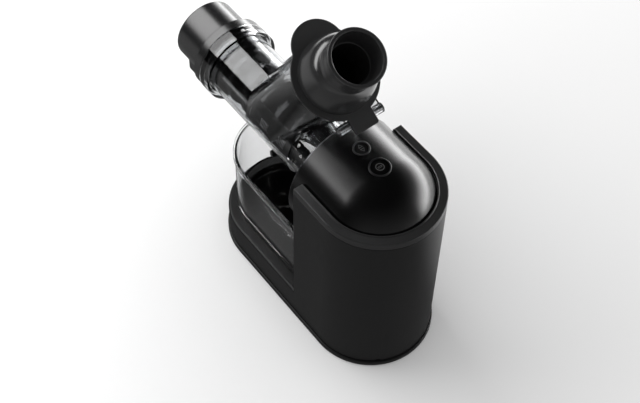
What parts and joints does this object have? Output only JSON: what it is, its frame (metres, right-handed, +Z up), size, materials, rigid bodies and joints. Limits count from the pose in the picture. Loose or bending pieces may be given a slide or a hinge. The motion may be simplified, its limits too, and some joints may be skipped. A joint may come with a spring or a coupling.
{
  "type": "cold press juicer",
  "caption": "Horizontal cold press juicer: motor column on a low base, clear drum with auger and strainer, tilted hopper with chute lid, end cap and container.",
  "frame": {"origin": "on the floor under the middle of the whole machine's bounding box", "axes": "+Z up, -Y forward towards the end cap, +Y to the rear of the column, +X to the left of the machine seen from behind it in the picture"},
  "size_m": [0.144, 0.385, 0.4081],
  "materials": {
    "satin_black": "satin moulded black",
    "gloss_black": "high gloss black",
    "lid_grey": "fine-textured matte dark grey",
    "clear_plastic": "clear, slightly smoky",
    "clear_container": "clear",
    "bright_ring": "polished",
    "rubber_black": "soft matte",
    "silicone_grey": "soft",
    "auger_black": "satin hard plastic",
    "strainer_frame": "dark frame with fine steel mesh windows",
    "gear_white": "natural acetal",
    "gearbox_grey": "glass-filled, matte",
    "steel": "ground",
    "zinc_steel": "zinc plated",
    "field_iron": "laminated",
    "bronze": "sintered bronze",
    "carbon": "carbon block",
    "board_green": "solder mask",
    "button_black": "gloss with printed mark"
  },
  "bodies": {
    "machine": {"base_plate": "satin_black", "rubber_feet": "rubber_black", "base_screws": "zinc_steel", "body_shell": "satin_black", "top_trim": "satin_black", "trim_seam": "gloss_black", "dome_cover": "gloss_black", "front_ring": "bright_ring", "drive_socket": "satin_black", "cord_inlet": "rubber_black", "power_bezel": "gloss_black", "reverse_bezel": "gloss_black", "control_board": "board_green", "tact_switches": "satin_black", "board_parts": "satin_black", "gearbox_cover": "gearbox_grey", "gearbox_case": "gearbox_grey", "gearbox_screws": "zinc_steel", "output_bearings": "bronze", "shaft_seal": "rubber_black", "layshaft": "steel", "motor_can": "zinc_steel", "motor_end_cap": "gearbox_grey", "motor_stator": "field_iron", "motor_bearings": "bronze", "motor_brushes": "carbon", "motor_cradle": "gearbox_grey"},
    "power_key": {"power_button": "button_black"},
    "reverse_key": {"reverse_button": "button_black"},
    "rotor": {"motor_rotor": "steel", "motor_pinion": "steel", "cooling_fan": "gear_white"},
    "idler": {"idler_gear": "gear_white"},
    "output": {"output_gear": "gear_white"},
    "drum": {"drum_body": "clear_plastic", "drum_seal": "silicone_grey", "strainer": "strainer_frame", "hinge_pin": "steel"},
    "screw": {"auger": "auger_black"},
    "front_cap": {"end_cap": "satin_black", "auger_bush": "gear_white", "cap_gasket": "rubber_black"},
    "lid": {"hopper_lid": "lid_grey", "feed_chute": "lid_grey", "lid_gasket": "silicone_grey", "splash_guard": "rubber_black"},
    "stopper": {"drip_stop": "satin_black"},
    "container": {"juice_container": "clear_container"}
  },
  "joints": [
    {"name": "power_press", "type": "slide", "parent": "machine", "child": "power_key", "axis": [0, 0, -1], "range_m": [0, 0.0012], "stiffness_N_per_m": 1500, "springref_m": -0.0006},
    {"name": "reverse_press", "type": "slide", "parent": "machine", "child": "reverse_key", "axis": [0, 0, -1], "range_m": [0, 0.0012], "stiffness_N_per_m": 1500, "springref_m": -0.0006},
    {"name": "rotor_turn", "type": "hinge", "parent": "machine", "child": "rotor", "pos_m": [0, 0.1385, 0.1122], "axis": [0, 1, 0], "continuous": true},
    {"name": "idler_turn", "type": "hinge", "parent": "machine", "child": "idler", "pos_m": [0, 0.0975, 0.153], "axis": [0, 1, 0], "continuous": true},
    {"name": "output_turn", "type": "hinge", "parent": "machine", "child": "output", "pos_m": [0, 0.0925, 0.204], "axis": [0, 1, 0], "continuous": true},
    {"name": "drum_pull", "type": "slide", "parent": "machine", "child": "drum", "axis": [0, -1, 0], "range_m": [0, 0.06]},
    {"name": "auger_turn", "type": "hinge", "parent": "drum", "child": "screw", "pos_m": [0, -0.0575, 0.204], "axis": [0, 1, 0], "continuous": true},
    {"name": "cap_pull", "type": "slide", "parent": "drum", "child": "front_cap", "axis": [0, -1, 0], "range_m": [0, 0.085]},
    {"name": "lid_hinge", "type": "hinge", "parent": "drum", "child": "lid", "pos_m": [0, 0.0851, 0.3112], "axis": [-1, 0, 0], "range_deg": [0, 95]},
    {"name": "drip_stop_turn", "type": "hinge", "parent": "drum", "child": "stopper", "pos_m": [0, -0.0315, 0.155], "axis": [0, 0, 1], "range_deg": [0, 100]},
    {"name": "container_slide", "type": "slide", "parent": "machine", "child": "container", "axis": [0, -1, 0], "range_m": [0, 0.17]}
  ],
  "couplings": [
    {"joint": "idler_turn", "follows": "rotor_turn", "ratio": -0.2},
    {"joint": "output_turn", "follows": "rotor_turn", "ratio": 0.066667},
    {"joint": "auger_turn", "follows": "rotor_turn", "ratio": 0.066667}
  ]
}
